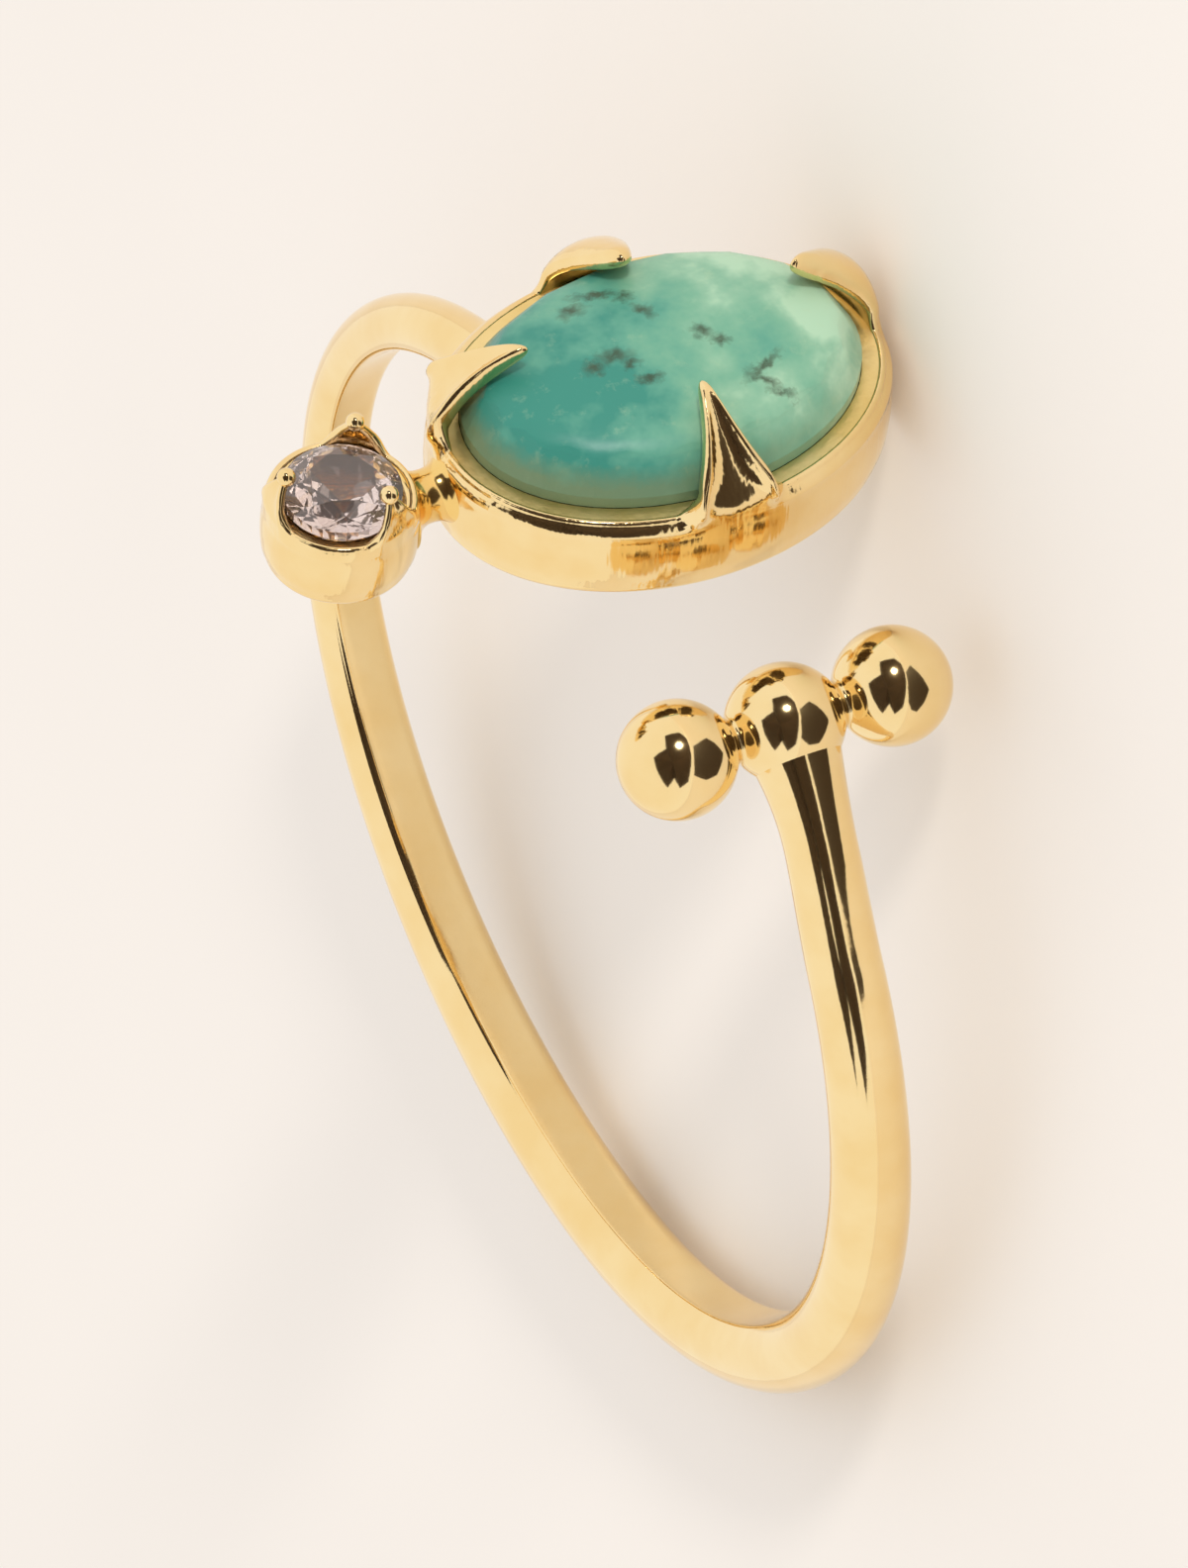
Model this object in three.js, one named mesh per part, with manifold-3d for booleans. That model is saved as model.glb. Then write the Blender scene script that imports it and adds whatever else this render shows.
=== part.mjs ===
// An open stackable ring lying on its side: a slim hoop whose one end carries a bar of three balls,
// and whose other end carries an oval turquoise in a cup with four pointed claws, with a small clear
// round stone in a cup of its own beside it.
//
// All lengths are in millimetres and all angles in degrees.
// The ring's own frame: X runs along the finger and the hoop lies in the YZ plane. An angle round the
// hoop starts at +Y and turns towards +Z. "Out" is away from the finger.

import * as THREE from "three";
import { ConvexGeometry } from "three/addons/geometries/ConvexGeometry.js";
import { ConvexHull } from "three/addons/math/ConvexHull.js";
import { mergeVertices } from "three/addons/utils/BufferGeometryUtils.js";
import Module from "manifold-3d";

// Hoop
const BORE_RADIUS = 8.4;
const OUT_OF_ROUND = 0.51;
const NARROW_AXIS_ANGLE = 48.5;
const BAND_WIDTH_BACK = 1.43;
const BAND_WIDTH_FRONT = 1.06;
const BAND_FLAT = 0.78;
const BAND_SIDE_STEP = 0.81;
const BAR_ANGLE = 72.2;
const HEAD_ANGLE = 397.8;

// Bar of balls
const BALL_RADIUS = 1.01;
const BALL_COUNT = 3;
const BALL_PITCH = 1.99;
const BALL_NECK_RADIUS = 0.42;
const BALL_OUT = 0.73;
const FLARE_LENGTH = 2.1;
const FLARE_WIDTH = 1.75;

// Oval stone
const OVAL_LENGTH = 7.0;
const OVAL_WIDTH = 5.0;
const OVAL_CROWN = 1.2;
const OVAL_CROWN_INSET = 1.4;
const OVAL_PAVILION = 1.15;

// Oval cup
const OVAL_CLEARANCE = 0.27;
const OVAL_WALL = 0.26;
const OVAL_CUP_DEPTH = 1.72;
const OVAL_SEAT_DEPTH = 0.42;
const OVAL_SEAT_INSET = 0.18;
const OVAL_CLAW_BASE = 2.3;
const OVAL_CLAW_TIP = 0.3;
const OVAL_CLAW_THICKNESS = 0.32;
const OVAL_CLAW_ABOVE = 0.2;
const OVAL_CLAW_REACH = 1.12;

// Round stone
const ROUND_DIAMETER = 2.0;
const ROUND_CROWN = 0.36;
const ROUND_CROWN_INSET = 0.44;
const ROUND_PAVILION = 0.85;

// Round cup
const ROUND_CLEARANCE = 0.12;
const ROUND_WALL = 0.18;
const ROUND_CUP_DEPTH = 1.45;
const ROUND_SEAT_DEPTH = 0.3;
const ROUND_SEAT_INSET = 0.12;
const ROUND_CLAW_BASE = 1.3;
const ROUND_CLAW_TIP = 0.2;
const ROUND_CLAW_THICKNESS = 0.16;
const ROUND_CLAW_ABOVE = 0.3;
const ROUND_CLAW_REACH = 0.1;
const ROUND_CLAW_BEAD = 0.16;

// Both stones
const GIRDLE = 0.2;

// Both cups: heights are measured from the plane of the girdles
const RIM_DEPTH = 0.2;
const EDGE_HEIGHT = 0.14;
const WALL_SWELL = 0.05;
const FOOT_INSET = 0.22;
const FOOT_HEIGHT = 0.2;
const FLOOR_THICKNESS = 0.35;

// Head
const HEAD_SIDE = 1.04;
const CUP_GAP = 0.55;
const CUP_SINK = 0.12;
const HEAD_LIFT_ANGLE = 22;
const BRIDGE_WIDTH = 1.3;
const BRIDGE_HEIGHT = 1.3;
const BRIDGE_SINK = 0.15;

// Each claw's place round its cup, measured from the finger's +X towards the bar
const OVAL_CLAW_ANGLES = [-12, 92, 200, 272];
const ROUND_CLAW_ANGLES = [-52, 68, 188];

// How a claw narrows with its height and bends in over its stone: powers, 1 being straight
const CLAW_NARROWING = 1.3;
const CLAW_BEND = 1.5;

// Rows of facet corners between a stone's girdle and its table or its point, as shares of the crown
// or the pavilion. Every second row is turned by half a facet.
const CROWN_ROWS = [
  { inset: 1, height: 1, turned: false },
  { inset: 0.62, height: 0.8, turned: true },
  { inset: 0.18, height: 0.42, turned: false },
];
const PAVILION_ROWS = [
  { inset: 0.45, height: 0.6, turned: true },
  { inset: 0.9, height: 1, turned: false },
];

// Levels of a claw's sections, as shares of its height, and places across it, as shares of its base
const CLAW_LEVELS = [0.4, 0.75, 1];
const CLAW_STEPS = [0.25, 0.5, 0.75, 1];

// Smoothness
const BAND_SECTIONS = 66;
const BAND_SIDES = 12;
const BALL_SIDES = 16;
const BALL_ROWS = 12;
const NECK_SIDES = 12;
const BEAD_SIDES = 8;
const BEAD_ROWS = 6;
const BRIDGE_SIDES = 14;
const BRIDGE_ROWS = 10;
const GIRDLE_SIDES = 32;
const CROWN_SIDES = 16;
const CUP_STEP_ANGLE = 12;

// Densities in grams per cubic millimetre
const METAL_DENSITY = 0.0085;
const TURQUOISE_DENSITY = 0.0027;
const CLEAR_STONE_DENSITY = 0.0026;

const wasm = await Module();
wasm.setup();

const radians = THREE.MathUtils.degToRad;
const smooth = (share) => THREE.MathUtils.smoothstep(share, 0, 1);

// Shared solids

// The volume inside a closed skin, below zero if its faces point in.
function signedVolume(points, faces) {
  const turned = new THREE.Vector3();
  let sum = 0;
  for (const [a, b, c] of faces) {
    sum += turned.crossVectors(points[b], points[c]).dot(points[a]) / 6;
  }
  return sum;
}

// A geometry from corner points and triangles, with its faces turned outwards.
function facesOut(points, faces) {
  const outward = signedVolume(points, faces) < 0 ? faces.map(([a, b, c]) => [a, c, b]) : faces;
  const geometry = new THREE.BufferGeometry().setFromPoints(points);
  geometry.setIndex(outward.flat());
  return geometry;
}

// Two triangles for each cell between neighbouring rows of points; each row is a closed loop.
function cells(rowCount, columnCount, closed) {
  const faces = [];
  const lastRow = closed ? rowCount : rowCount - 1;
  for (let row = 0; row < lastRow; row++) {
    const next = (row + 1) % rowCount;
    for (let column = 0; column < columnCount; column++) {
      const beside = (column + 1) % columnCount;
      const [a, b] = [row * columnCount + column, row * columnCount + beside];
      const [c, d] = [next * columnCount + column, next * columnCount + beside];
      faces.push([a, b, d], [a, d, c]);
    }
  }
  return faces;
}

// A bar skinned through a row of sections, with flat ends.
function skinnedBar(rows) {
  const sides = rows[0].length;
  const faces = cells(rows.length, sides, false);
  const last = (rows.length - 1) * sides;
  for (let side = 1; side < sides - 1; side++) {
    faces.push([0, side + 1, side], [last, last + side, last + side + 1]);
  }
  return facesOut(rows.flat(), faces);
}

// A wall skinned through sections that stand all the way round, so that the last meets the first.
function skinnedRing(rows) {
  return facesOut(rows.flat(), cells(rows.length, rows[0].length, true));
}

// A closed mesh as a solid that can be joined to others.
function solid(geometry) {
  const bare = geometry.clone();
  bare.deleteAttribute("normal");
  bare.deleteAttribute("uv");
  const merged = mergeVertices(bare, 1e-4);
  const vertProperties = new Float32Array(merged.attributes.position.array);
  const triVerts = new Uint32Array(merged.index.array);
  return new wasm.Manifold(new wasm.Mesh({ numProp: 3, vertProperties, triVerts }));
}

// One body out of closed meshes that run into each other.
function joined(geometries) {
  const whole = geometries.map(solid).reduce((sum, piece) => sum.add(piece));
  const mesh = whole.getMesh();
  const geometry = new THREE.BufferGeometry();
  geometry.setAttribute("position", new THREE.BufferAttribute(mesh.vertProperties, 3));
  geometry.setIndex(new THREE.BufferAttribute(mesh.triVerts, 1));
  return geometry;
}

// Hoop

// 0 at the bar, 1 at the head.
const bandShare = (angle) => (angle - BAR_ANGLE) / (HEAD_ANGLE - BAR_ANGLE);

// The hoop is thickest at the back of the finger and slims towards its ends.
function bandWidth(angle) {
  const middle = (BAND_WIDTH_BACK + BAND_WIDTH_FRONT) / 2;
  const swing = (BAND_WIDTH_BACK - BAND_WIDTH_FRONT) / 2;
  return middle - swing * Math.cos(radians(angle));
}

// From the centre of the band's round section to its flat inner face.
const flatDepth = (width) => Math.sqrt((width / 2) ** 2 - (BAND_FLAT / 2) ** 2);

// The radius of the middle of the band's section, on the slightly pressed hoop.
function bandRadius(angle) {
  const pressed = OUT_OF_ROUND * Math.cos(radians(2 * (angle - NARROW_AXIS_ANGLE)));
  return BORE_RADIUS - pressed + flatDepth(bandWidth(angle));
}

// One end of the hoop stands to one side of the other, as on a hoop wound from a rod.
const bandSide = (angle) => BAND_SIDE_STEP * (0.5 - bandShare(angle));

function hoopPoint(x, radius, angle) {
  const turn = radians(angle);
  return new THREE.Vector3(x, radius * Math.cos(turn), radius * Math.sin(turn));
}

// Distance along the band from the bar.
const fromBar = (angle) => radians(angle - BAR_ANGLE) * bandRadius(angle);

// How far a section lies inside the flare that runs into the bar: 0 at its start, 1 at the bar.
const flareShare = (angle) => Math.max(0, 1 - fromBar(angle) / FLARE_LENGTH);

// The band rises to the bar at one end and to the underside of the cup at the other.
function bandLift(angle) {
  const barLift = BALL_OUT * smooth(1 - fromBar(angle) / (2 * FLARE_LENGTH));
  const headLift = CUP_SINK * smooth(1 - (HEAD_ANGLE - angle) / HEAD_LIFT_ANGLE);
  return barLift + headLift;
}

// A rounded D: an arc outside and a flat inside that stays parallel to the finger.
function bandSection(angle) {
  const flare = flareShare(angle) ** 2;
  const width = THREE.MathUtils.lerp(bandWidth(angle), FLARE_WIDTH, flare);
  const flatHalf = Math.asin(BAND_FLAT / width);
  const radius = bandRadius(angle) + bandLift(angle);
  const arc = 2 * Math.PI - 2 * flatHalf;
  return Array.from({ length: BAND_SIDES }, (_, side) => {
    const turn = Math.PI + flatHalf + (arc * side) / (BAND_SIDES - 1);
    const across = (Math.sin(turn) * width) / 2;
    const out = (Math.cos(turn) * width) / 2;
    return hoopPoint(bandSide(angle) + across, radius + out, angle);
  });
}

function band() {
  const angles = Array.from({ length: BAND_SECTIONS + 1 }, (_, step) => {
    return THREE.MathUtils.lerp(BAR_ANGLE, HEAD_ANGLE, step / BAND_SECTIONS);
  });
  return skinnedBar(angles.map(bandSection));
}

// Bar of balls

function barPoint(along) {
  const radius = bandRadius(BAR_ANGLE) + BALL_OUT;
  return hoopPoint(bandSide(BAR_ANGLE) + along, radius, BAR_ANGLE);
}

function ball(index) {
  const along = (index - (BALL_COUNT - 1) / 2) * BALL_PITCH;
  const geometry = new THREE.SphereGeometry(BALL_RADIUS, BALL_SIDES, BALL_ROWS);
  geometry.rotateZ(Math.PI / 2);
  return geometry.translate(...barPoint(along).toArray());
}

// The solder that joins the balls in a row.
function barCore() {
  const length = (BALL_COUNT - 1) * BALL_PITCH;
  const geometry = new THREE.CylinderGeometry(BALL_NECK_RADIUS, BALL_NECK_RADIUS, length, NECK_SIDES);
  geometry.rotateZ(Math.PI / 2);
  return geometry.translate(...barPoint(0).toArray());
}

// Head

const headAngle = HEAD_ANGLE - 360;

// From the finger's middle line to the plane of both stones' girdles.
function girdleRadius() {
  const outside = bandRadius(HEAD_ANGLE) + bandWidth(HEAD_ANGLE) / 2;
  return outside + OVAL_CUP_DEPTH;
}

// A point of the head: along the finger, across towards the bar, and up from the girdle plane.
function headPoint(along, across, up) {
  const turn = radians(headAngle);
  const out = girdleRadius() + up;
  const y = out * Math.cos(turn) - across * Math.sin(turn);
  const z = out * Math.sin(turn) + across * Math.cos(turn);
  return new THREE.Vector3(bandSide(HEAD_ANGLE) + HEAD_SIDE + along, y, z);
}

const ovalSetting = {
  along: 0,
  halfLength: OVAL_LENGTH / 2,
  halfWidth: OVAL_WIDTH / 2,
  crown: OVAL_CROWN,
  crownInset: OVAL_CROWN_INSET,
  pavilion: OVAL_PAVILION,
  clearance: OVAL_CLEARANCE,
  wall: OVAL_WALL,
  depth: OVAL_CUP_DEPTH,
  seatDepth: OVAL_SEAT_DEPTH,
  seatInset: OVAL_SEAT_INSET,
  clawAngles: OVAL_CLAW_ANGLES,
  clawBase: OVAL_CLAW_BASE,
  clawTip: OVAL_CLAW_TIP,
  clawThickness: OVAL_CLAW_THICKNESS,
  clawHeight: OVAL_CROWN + OVAL_CLAW_ABOVE,
  clawReach: OVAL_CLAW_REACH,
};

const ovalReach = OVAL_LENGTH / 2 + OVAL_CLEARANCE + OVAL_WALL;
const roundReach = ROUND_DIAMETER / 2 + ROUND_CLEARANCE + ROUND_WALL;

const roundSetting = {
  along: -(ovalReach + CUP_GAP + roundReach),
  halfLength: ROUND_DIAMETER / 2,
  halfWidth: ROUND_DIAMETER / 2,
  crown: ROUND_CROWN,
  crownInset: ROUND_CROWN_INSET,
  pavilion: ROUND_PAVILION,
  clearance: ROUND_CLEARANCE,
  wall: ROUND_WALL,
  depth: ROUND_CUP_DEPTH,
  seatDepth: ROUND_SEAT_DEPTH,
  seatInset: ROUND_SEAT_INSET,
  clawAngles: ROUND_CLAW_ANGLES,
  clawBase: ROUND_CLAW_BASE,
  clawTip: ROUND_CLAW_TIP,
  clawThickness: ROUND_CLAW_THICKNESS,
  clawHeight: ROUND_CROWN + ROUND_CLAW_ABOVE,
  clawReach: ROUND_CLAW_REACH,
};

// A point at a distance outside the stone's outline, square to it.
function outlinePoint(setting, angle, outside, up) {
  const turn = radians(angle);
  const { halfLength, halfWidth } = setting;
  const normal = new THREE.Vector2(halfWidth * Math.cos(turn), halfLength * Math.sin(turn)).normalize();
  const along = setting.along + halfLength * Math.cos(turn) + normal.x * outside;
  const across = halfWidth * Math.sin(turn) + normal.y * outside;
  return headPoint(along, across, up);
}

function outlineRing(setting, sides, start, inset, up) {
  return Array.from({ length: sides }, (_, side) => {
    return outlinePoint(setting, start + (360 * side) / sides, -inset, up);
  });
}

// One row of facet corners at a share of the way in from the girdle and up or down from it.
function facetRow(setting, row, inset, height) {
  const half = GIRDLE / 2;
  const start = row.turned ? 180 / CROWN_SIDES : 0;
  const up = Math.sign(height) * (half + (Math.abs(height) - half) * row.height);
  return outlineRing(setting, CROWN_SIDES, start, inset * row.inset, up);
}

// A cut stone: a table, rows of crown facets, a straight girdle and rows of facets below it.
function cutStone(setting) {
  const { crown, crownInset, pavilion, halfWidth } = setting;
  return new ConvexGeometry([
    ...CROWN_ROWS.flatMap((row) => facetRow(setting, row, crownInset, crown)),
    ...outlineRing(setting, GIRDLE_SIDES, 0, 0, GIRDLE / 2),
    ...outlineRing(setting, GIRDLE_SIDES, 0, 0, -GIRDLE / 2),
    ...PAVILION_ROWS.flatMap((row) => facetRow(setting, row, halfWidth, -pavilion)),
  ]);
}

// Distance along the cup's outside for each degree of angle.
function degreeLength(setting, angle) {
  const reach = setting.clearance + setting.wall;
  const turn = radians(angle);
  const along = (setting.halfLength + reach) * Math.sin(turn);
  const across = (setting.halfWidth + reach) * Math.cos(turn);
  return radians(Math.hypot(along, across));
}

// The height of the wall's edge as a share of a claw's: 1 at a claw's tip and 0 between the claws.
function clawRise(setting, angle) {
  const { clawAngles, clawBase, clawTip } = setting;
  const distances = clawAngles.map((middle) => {
    const apart = Math.abs(THREE.MathUtils.euclideanModulo(angle - middle + 180, 360) - 180);
    return apart * degreeLength(setting, middle);
  });
  const share = (clawBase - 2 * Math.min(...distances)) / (clawBase - clawTip);
  return THREE.MathUtils.clamp(share, 0, 1) ** CLAW_NARROWING;
}

// Angles for the wall's sections: close together at each claw, wide apart between them.
function cupAngles(setting) {
  const { clawBase, clawTip } = setting;
  const widths = [0, ...CLAW_STEPS].map((share) => THREE.MathUtils.lerp(clawTip, clawBase, share));
  const middles = setting.clawAngles.map((angle) => THREE.MathUtils.euclideanModulo(angle, 360));
  middles.sort((a, b) => a - b);
  const claws = middles.map((middle) => {
    const offsets = widths.map((width) => width / 2 / degreeLength(setting, middle));
    return { middle, offsets, half: offsets.at(-1) };
  });
  const angles = claws.flatMap(({ middle, offsets, half }, index) => {
    const after = claws[(index + 1) % claws.length];
    const turns = index + 1 < claws.length ? 0 : 360;
    const start = middle + half;
    const gap = after.middle + turns - after.half - start;
    const steps = Math.max(2, Math.round(gap / CUP_STEP_ANGLE));
    const near = offsets.flatMap((offset) => [middle - offset, middle + offset]);
    const between = Array.from({ length: steps - 1 }, (_, step) => start + (gap * (step + 1)) / steps);
    return [...near, ...between];
  });
  return angles.sort((a, b) => a - b);
}

// How far a claw has bent in, past the wall that it grows from, at a height above the girdle plane.
function clawLean(setting, up) {
  const half = GIRDLE / 2;
  const share = Math.max(0, up - half) / (setting.clawHeight - half);
  return (setting.clearance + setting.clawReach) * share ** CLAW_BEND;
}

// The cup's wall: straight and slightly full outside, stepped inside for the stone, with an edge that
// dips between the claws; above the girdle each claw leans in over the crown.
function cupSection(setting, angle) {
  const { clearance, wall, depth, seatDepth, seatInset, clawHeight, clawThickness } = setting;
  const outer = clearance + wall;
  const rise = clawRise(setting, angle);
  const top = THREE.MathUtils.lerp(EDGE_HEIGHT - RIM_DEPTH, clawHeight, rise);
  const claw = CLAW_LEVELS.map((level) => {
    const up = THREE.MathUtils.lerp(-RIM_DEPTH, top, level);
    const thickness = THREE.MathUtils.lerp(wall, clawThickness, level * rise);
    return { up, inside: clearance - clawLean(setting, up), thickness };
  });
  return [
    [outer - FOOT_INSET, -depth],
    [outer - WALL_SWELL, -depth + FOOT_HEIGHT],
    [outer + WALL_SWELL, -depth / 2],
    [outer, -RIM_DEPTH],
    ...claw.map(({ up, inside, thickness }) => [inside + thickness, up]),
    ...claw.map(({ up, inside }) => [inside, up]).reverse(),
    [clearance, -seatDepth],
    [-seatInset, -seatDepth],
    [-seatInset, -depth],
  ];
}

function cupWall(setting) {
  const rows = cupAngles(setting).map((angle) => {
    return cupSection(setting, angle).map(([offset, up]) => outlinePoint(setting, angle, offset, up));
  });
  return skinnedRing(rows);
}

// The plate that closes the cup below the stone.
function cupFloor(setting) {
  const inset = setting.seatInset - setting.wall / 2;
  const below = outlineRing(setting, GIRDLE_SIDES, 0, inset, -setting.depth);
  const above = outlineRing(setting, GIRDLE_SIDES, 0, inset, -setting.depth + FLOOR_THICKNESS);
  return skinnedBar([below, above]);
}

// The rounded end of each claw of the small cup.
function clawBead(setting, angle) {
  const geometry = new THREE.SphereGeometry(ROUND_CLAW_BEAD, BEAD_SIDES, BEAD_ROWS);
  const offset = setting.wall / 2 - setting.clawReach;
  const place = outlinePoint(setting, angle, offset, setting.clawHeight);
  return geometry.translate(...place.toArray());
}

// The lump of solder that joins the two cups: a ball one unit across, stretched into both walls.
function bridge() {
  const geometry = new THREE.SphereGeometry(1 / 2, BRIDGE_SIDES, BRIDGE_ROWS);
  const length = CUP_GAP + OVAL_WALL + ROUND_WALL + 2 * BRIDGE_SINK;
  geometry.scale(length, BRIDGE_WIDTH, BRIDGE_HEIGHT);
  geometry.rotateX(radians(headAngle) - Math.PI / 2);
  const middle = headPoint(-ovalReach - CUP_GAP / 2, 0, -ROUND_CUP_DEPTH / 2);
  return geometry.translate(...middle.toArray());
}

function ringMetal() {
  const balls = Array.from({ length: BALL_COUNT }, (_, index) => ball(index));
  const beads = ROUND_CLAW_ANGLES.map((angle) => clawBead(roundSetting, angle));
  return joined([
    band(),
    ...balls,
    barCore(),
    cupWall(ovalSetting),
    cupFloor(ovalSetting),
    cupWall(roundSetting),
    cupFloor(roundSetting),
    ...beads,
    bridge(),
  ]);
}

// The ring's resting place

// The centre of mass of closed meshes, each with its density.
function balancePoint(meshes) {
  const sum = new THREE.Vector3();
  let weight = 0;
  for (const { geometry, userData } of meshes) {
    const flat = geometry.index ? geometry.toNonIndexed() : geometry;
    const place = flat.attributes.position;
    for (let start = 0; start < place.count; start += 3) {
      const corners = [0, 1, 2].map((step) => new THREE.Vector3().fromBufferAttribute(place, start + step));
      const [a, b, c] = corners;
      const part = (new THREE.Vector3().crossVectors(b, c).dot(a) / 6) * userData.density;
      weight += part;
      sum.addScaledVector(a, part / 4).addScaledVector(b, part / 4).addScaledVector(c, part / 4);
    }
  }
  return sum.divideScalar(weight);
}

function corners(mesh) {
  const place = mesh.geometry.attributes.position;
  return Array.from({ length: place.count }, (_, index) => {
    return new THREE.Vector3().fromBufferAttribute(place, index);
  });
}

// Whether a point, dropped on the face of a hull, lands inside that face.
function landsInside(face, point) {
  let edge = face.edge;
  do {
    const [tail, head] = [edge.tail().point, edge.head().point];
    const along = new THREE.Vector3().subVectors(head, tail);
    const across = new THREE.Vector3().crossVectors(face.normal, along);
    if (across.dot(new THREE.Vector3().subVectors(point, tail)) < 0) return false;
    edge = edge.next;
  } while (edge !== face.edge);
  return true;
}

// The face of the ring's hull that it lies on, with the oval cup's end and the bar's end down.
function restingNormal(meshes) {
  const hull = new ConvexHull().setFromPoints(meshes.flatMap(corners));
  const balance = balancePoint(meshes);
  const stable = hull.faces.filter((face) => landsInside(face, balance));
  return stable.sort((a, b) => b.normal.x - a.normal.x)[0].normal;
}

// Turns the ring so that its resting face is down and its stone looks towards -Y, then sets it on Z = 0
// with the origin below the middle of its box.
function layDown(ring) {
  const up = restingNormal(ring.children).clone().negate();
  const turn = radians(headAngle);
  const front = new THREE.Vector3(0, Math.cos(turn), Math.sin(turn)).projectOnPlane(up).normalize();
  const back = front.clone().negate();
  const side = new THREE.Vector3().crossVectors(back, up);
  ring.quaternion.setFromRotationMatrix(new THREE.Matrix4().makeBasis(side, back, up).transpose());
  ring.updateMatrixWorld(true);
  const box = new THREE.Box3().setFromObject(ring, true);
  const middle = box.getCenter(new THREE.Vector3());
  ring.position.set(-middle.x, -middle.y, -box.min.z);
}

// Nodes

function node(name, geometry, density, look) {
  const mesh = new THREE.Mesh(geometry, new THREE.MeshStandardMaterial(look));
  mesh.name = name;
  mesh.userData.density = density;
  return mesh;
}

const gold = { color: 0xe9c77c, roughness: 0.18, metalness: 1 };
const turquoise = { color: 0x6ebaa0, roughness: 0.25, metalness: 0 };
const clear = { color: 0xf1e9e6, roughness: 0.02, metalness: 0 };

const ring = new THREE.Group();
ring.add(node("ring_metal", ringMetal(), METAL_DENSITY, gold));
ring.add(node("oval_stone", cutStone(ovalSetting), TURQUOISE_DENSITY, turquoise));
ring.add(node("round_stone", cutStone(roundSetting), CLEAR_STONE_DENSITY, clear));
layDown(ring);

const part = new THREE.Group();
part.add(ring);

export default part;
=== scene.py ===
"""The looks of a slim open ring with an oval turquoise, a small clear stone and a bar of three balls.

The ring lies on its side, as in the frame. Lengths are in millimetres until a point goes into the
frame, which is in metres, and angles are in degrees.
"""

import math

import bmesh
import bpy
import numpy as np
from mathutils import Matrix, Vector


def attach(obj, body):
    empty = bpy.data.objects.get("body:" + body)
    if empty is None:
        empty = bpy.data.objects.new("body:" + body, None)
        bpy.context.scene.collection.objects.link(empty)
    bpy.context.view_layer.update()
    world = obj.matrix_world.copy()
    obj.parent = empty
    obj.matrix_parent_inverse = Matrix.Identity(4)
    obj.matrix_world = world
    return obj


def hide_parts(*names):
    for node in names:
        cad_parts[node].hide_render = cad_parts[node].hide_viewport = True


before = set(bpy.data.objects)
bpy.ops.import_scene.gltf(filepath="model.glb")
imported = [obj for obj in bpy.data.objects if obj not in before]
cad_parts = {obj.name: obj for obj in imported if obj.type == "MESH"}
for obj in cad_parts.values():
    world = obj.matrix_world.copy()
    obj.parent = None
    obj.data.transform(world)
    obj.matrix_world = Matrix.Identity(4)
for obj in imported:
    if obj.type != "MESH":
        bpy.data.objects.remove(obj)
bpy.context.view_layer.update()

MM = 0.001

# Hoop
BORE_RADIUS = 8.4
OUT_OF_ROUND = 0.51
NARROW_AXIS_ANGLE = 48.5
BAND_WIDTH_BACK = 1.43
BAND_WIDTH_FRONT = 1.06
BAND_FLAT = 0.78
BAND_EDGE_ROUND = 0.22
BAND_SIDE_STEP = 0.81
BAR_ANGLE = 72.2
HEAD_ANGLE = 397.8

# Bar of balls, with how sharply a ball runs into the solder beside it
BALL_RADIUS = 1.01
BALL_PITCH = 1.99
BALL_NECK_RADIUS = 0.4
BALL_NECK_SHARPNESS = 7
BALL_OUT = 0.73
FLARE_LENGTH = 2.1
FLARE_WIDTH = 1.8

# Stones
OVAL = {"half_length": 3.5, "half_width": 2.5}
ROUND = {"half_length": 1.0, "half_width": 1.0}
GIRDLE = 0.2

# Rows of the stones' corners: how many, the angle of the first, how far they stand in from the
# stone's outline, and their height over the middle of the girdle
TURQUOISE_ROWS = (
    (64, 0, 0.0, -0.1),
    (64, 0, 0.0, 0.12),
    (16, 0, 1.1, -0.7),
    (12, 0, 2.2, -1.15),
    (18, 10, 0.33, 0.7),
    (72, 0, 0.45, 0.8),
    (72, 0, 0.65, 0.89),
    (72, 0, 0.95, 0.98),
    (72, 0, 1.3, 1.06),
    (72, 0, 1.7, 1.12),
    (72, 0, 2.05, 1.15),
)
CLEAR_ROWS = (
    (8, 0, 0.44, 0.36),
    (8, 22.5, 0.22, 0.26),
    (16, 0, 0.0, 0.1),
    (16, 11.25, 0.0, 0.09),
    (32, 0, 0.0, -0.08),
    (16, 0, 0.08, -0.2),
    (8, 22.5, 0.6, -0.62),
    (8, 0, 0.97, -0.84),
)

# A stone's faces are smooth where the cosine between the way they face and the way the stone looks
# is over this, and faces that meet at less than the merge angle are one
SMOOTH_DOME = 0.7
NOWHERE_SMOOTH = 2.0
FACET_MERGE_ANGLE = 0.4

# Cups, each claw with its angle, its widths at base and tip, its thickness, and the depth of the
# groove in its outer face, or the height of a swelling where that is below 0
OVAL_CUP = {
    **OVAL,
    "along": 0.0,
    "clearance": 0.27,
    "wall": 0.26,
    "depth": 1.72,
    "seat_depth": 0.42,
    "seat_inset": 0.18,
    "claws": (
        (-12, 2.0, 0.85, 0.2, -0.2),
        (92, 2.1, 0.36, 0.42, 0.13),
        (200, 1.9, 0.62, 0.4, 0.13),
        (270, 1.9, 0.95, 0.2, -0.16),
    ),
    "claw_height": 1.4,
    "claw_reach": 1.12,
    "edge": -0.06,
}
ROUND_CUP = {
    **ROUND,
    "clearance": 0.12,
    "wall": 0.18,
    "depth": 1.45,
    "seat_depth": 0.3,
    "seat_inset": 0.12,
    "claws": (
        (-52, 1.3, 0.2, 0.2, 0.07),
        (68, 1.3, 0.2, 0.2, 0.07),
        (188, 1.3, 0.2, 0.2, 0.07),
    ),
    "claw_height": 0.66,
    "claw_reach": 0.1,
    "edge": -0.06,
}
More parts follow.
